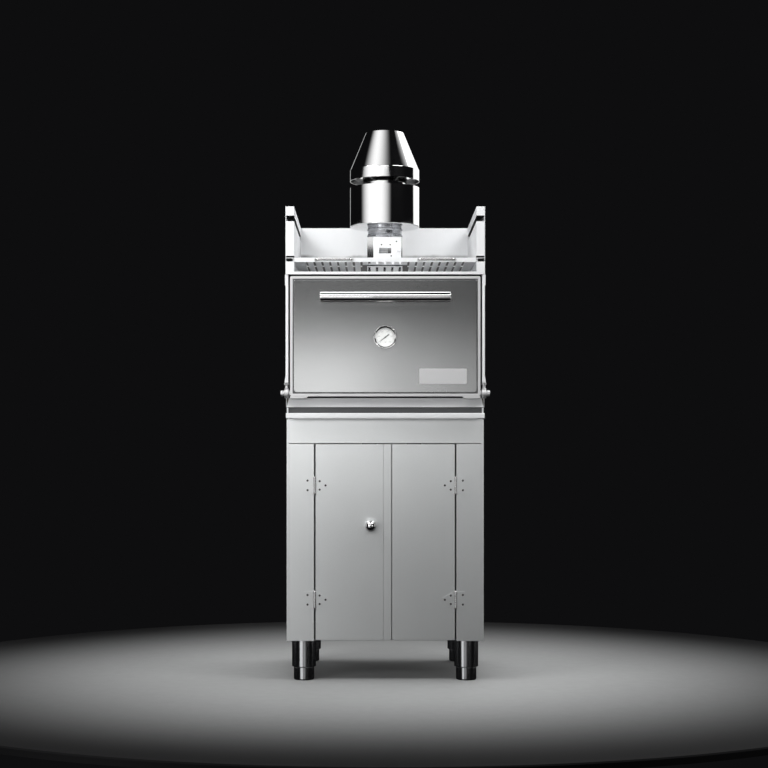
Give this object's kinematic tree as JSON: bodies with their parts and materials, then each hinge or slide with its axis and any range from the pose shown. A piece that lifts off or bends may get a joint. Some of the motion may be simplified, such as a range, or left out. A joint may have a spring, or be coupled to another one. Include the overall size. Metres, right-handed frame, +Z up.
{
  "type": "charcoal oven",
  "caption": "Upright stainless charcoal oven on a hinged-door cupboard: drop-down oven door with dial thermometer, drip tray, warming rack and capped flue.",
  "frame": {"origin": "on the floor, under the middle of the object's box", "axes": "+Z up, -Y towards the person at the oven door, +X to that person's right"},
  "size_m": [0.653, 0.6815, 1.759],
  "materials": {
    "satin_steel": "fine satin stainless sheet",
    "polished_steel": "polished stainless",
    "steel_rod": "dull bar",
    "cast_iron": "raw casting",
    "insulation": "mineral wool and glass rope",
    "dial": "white enamel",
    "needle": "black",
    "glass": "clear",
    "catch": "black housing"
  },
  "bodies": {
    "cabinet": {"cabinet_walls": "satin_steel", "cabinet_floor": "satin_steel", "cabinet_deck": "satin_steel", "cabinet_stiles": "satin_steel", "cabinet_fascia": "satin_steel", "magnetic_catches": "catch", "leg_tubes": "polished_steel", "hinge_frame_leaves": "polished_steel", "hinge_pins_and_screws": "polished_steel", "oven_risers": "satin_steel", "oven_bottom": "satin_steel", "oven_skirt": "satin_steel", "oven_casing": "satin_steel", "oven_front_frame": "satin_steel", "oven_roof": "satin_steel", "oven_liner": "satin_steel", "grill_rails": "satin_steel", "oven_insulation": "insulation", "charcoal_grate": "cast_iron", "cooking_grill": "steel_rod", "hanger_bars": "polished_steel", "hinge_eyes": "polished_steel", "rack_sides": "satin_steel", "rack_back": "satin_steel", "flue_box": "satin_steel", "shutter_cover": "satin_steel", "flue_neck": "polished_steel", "firebreak_drum": "polished_steel", "inner_stack": "polished_steel", "flue_hood": "polished_steel", "hood_straps": "satin_steel"},
    "oven_door": {"door_shell": "satin_steel", "door_panel": "satin_steel", "door_insulation": "insulation", "door_plug": "satin_steel", "door_seal": "insulation", "door_corner_brackets": "satin_steel", "pivot_bolts": "polished_steel", "door_handle": "polished_steel", "handle_posts": "polished_steel", "thermometer_case": "polished_steel", "thermometer_bezel": "polished_steel", "thermometer_glass": "glass", "thermometer_dial": "dial", "door_plate": "satin_steel"},
    "thermometer_needle": {"thermometer_needle": "needle"},
    "cupboard_door_left": {"cupboard_door_left": "satin_steel", "door_edge_strip": "satin_steel", "cupboard_knob": "polished_steel", "door_leaves_left": "polished_steel"},
    "cupboard_door_right": {"cupboard_door_right": "satin_steel", "door_leaves_right": "polished_steel"},
    "draught_shutter": {"draught_shutter": "satin_steel"},
    "rack_shelf": {"rack_shelf": "satin_steel", "shelf_grips": "polished_steel"},
    "drip_tray": {"drip_tray": "satin_steel"},
    "foot_front_left": {"foot_front_left": "polished_steel"},
    "foot_front_right": {"foot_front_right": "polished_steel"},
    "foot_back_left": {"foot_back_left": "polished_steel"},
    "foot_back_right": {"foot_back_right": "polished_steel"}
  },
  "joints": [
    {"name": "oven_door_drop", "type": "hinge", "parent": "cabinet", "child": "oven_door", "pos_m": [0, -0.25425, 0.901], "axis": [1, 0, 0], "range_deg": [0, 90]},
    {"name": "thermometer_needle_turn", "type": "hinge", "parent": "oven_door", "child": "thermometer_needle", "pos_m": [0, -0.26925, 1.074], "axis": [0, 1, 0], "range_deg": [0, 270]},
    {"name": "cupboard_door_left_swing", "type": "hinge", "parent": "cabinet", "child": "cupboard_door_left", "pos_m": [-0.2205, -0.24325, 0.434], "axis": [0, 0, -1], "range_deg": [0, 110]},
    {"name": "cupboard_door_right_swing", "type": "hinge", "parent": "cabinet", "child": "cupboard_door_right", "pos_m": [0.2205, -0.24325, 0.434], "axis": [0, 0, 1], "range_deg": [0, 110]},
    {"name": "draught_shutter_slide", "type": "slide", "parent": "cabinet", "child": "draught_shutter", "axis": [-1, 0, 0], "range_m": [0, 0.0395]},
    {"name": "rack_shelf_slide", "type": "slide", "parent": "cabinet", "child": "rack_shelf", "axis": [0, -1, 0], "range_m": [0, 0.25]},
    {"name": "drip_tray_slide", "type": "slide", "parent": "cabinet", "child": "drip_tray", "axis": [0, -1, 0], "range_m": [0, 0.2]},
    {"name": "foot_front_left_height", "type": "slide", "parent": "cabinet", "child": "foot_front_left", "axis": [0, 0, -1], "range_m": [0, 0.025]},
    {"name": "foot_front_right_height", "type": "slide", "parent": "cabinet", "child": "foot_front_right", "axis": [0, 0, -1], "range_m": [0, 0.025]},
    {"name": "foot_back_left_height", "type": "slide", "parent": "cabinet", "child": "foot_back_left", "axis": [0, 0, -1], "range_m": [0, 0.025]},
    {"name": "foot_back_right_height", "type": "slide", "parent": "cabinet", "child": "foot_back_right", "axis": [0, 0, -1], "range_m": [0, 0.025]}
  ]
}
